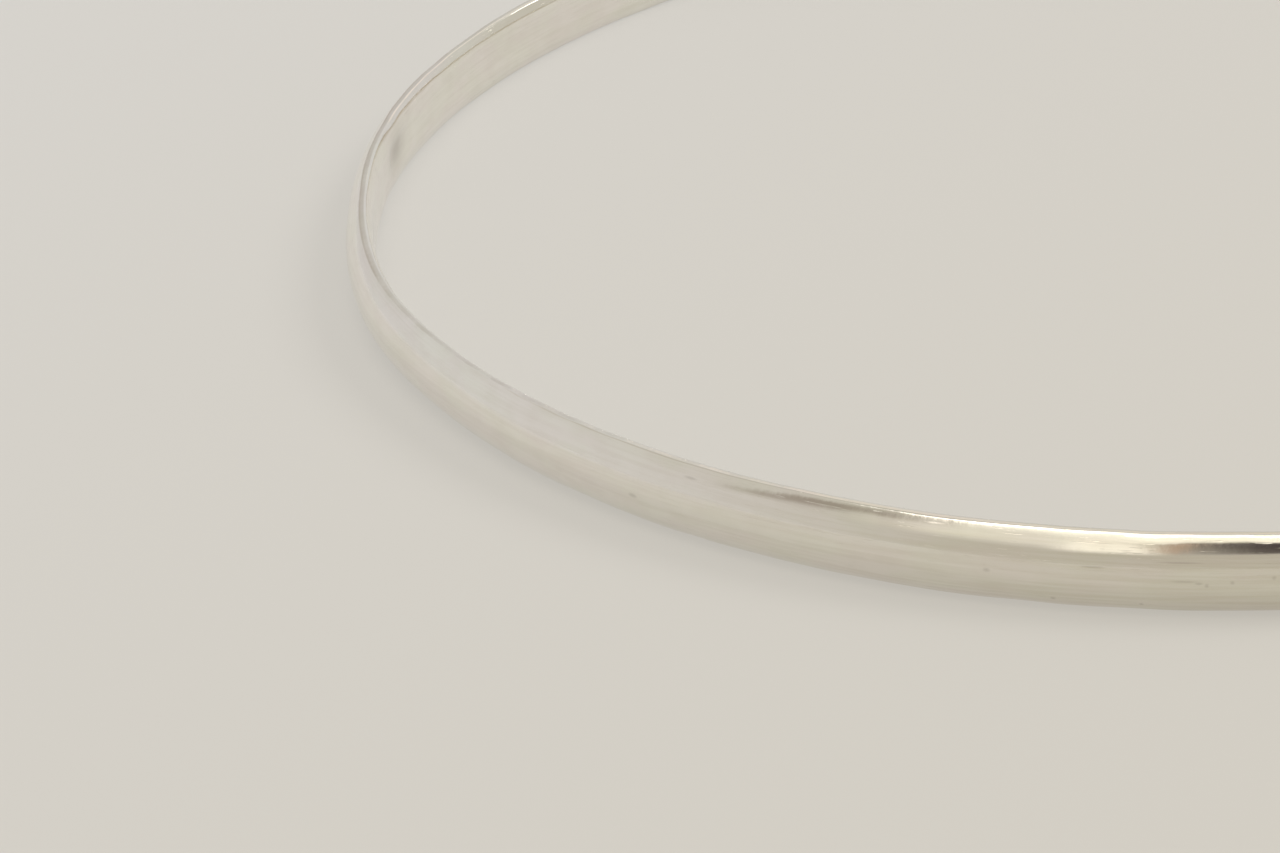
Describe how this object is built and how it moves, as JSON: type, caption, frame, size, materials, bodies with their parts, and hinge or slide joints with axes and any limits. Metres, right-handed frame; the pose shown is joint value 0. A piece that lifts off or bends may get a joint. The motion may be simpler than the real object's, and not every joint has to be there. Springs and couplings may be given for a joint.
{
  "type": "bangle bracelet",
  "caption": "Closed round slip-on bangle of plain polished low-dome silver wire, soldered into a ring, with a blank oval stamp on its slightly rounded inside wall.",
  "frame": {"origin": "centre of the ring, half way up the wire", "axes": "+Z along the ring's axis, so that the bangle lies flat; the joint is in the +X +Y quarter and the stamp is close to -X"},
  "size_m": [0.0666, 0.0666, 0.0026],
  "materials": {
    "polished_silver": "hand-polished sterling silver with fine scratches",
    "silver_solder": "silver solder filed and polished flush"
  },
  "bodies": {
    "root": {"band": "polished_silver", "solder_seam": "silver_solder"}
  },
  "joints": []
}
